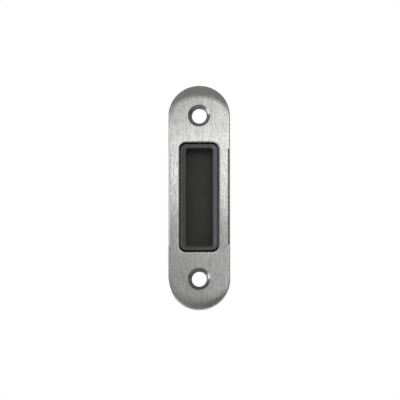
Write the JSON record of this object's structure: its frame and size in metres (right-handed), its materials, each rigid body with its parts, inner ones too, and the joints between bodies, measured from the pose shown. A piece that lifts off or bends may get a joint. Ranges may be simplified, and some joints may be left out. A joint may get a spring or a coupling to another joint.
{
  "type": "door strike plate",
  "caption": "Round-ended brushed metal strike plate with countersunk screw holes and a moulded dust box behind its window, set in a door frame to catch a latch bolt.",
  "frame": {"origin": "on the back of the plate, which seats on the door frame, midway between the two screw holes", "axes": "+Z along the plate's length, upwards as fitted; -Y out of the face, towards the door; +Y into the door frame, along the dust box; +X across the face"},
  "size_m": [0.022, 0.0095, 0.0808],
  "materials": {
    "brushed_plate": "brushed along the length",
    "moulded_plastic": "satin, finely textured"
  },
  "bodies": {
    "root": {"strike_plate": "brushed_plate", "dust_box": "moulded_plastic"}
  },
  "joints": []
}
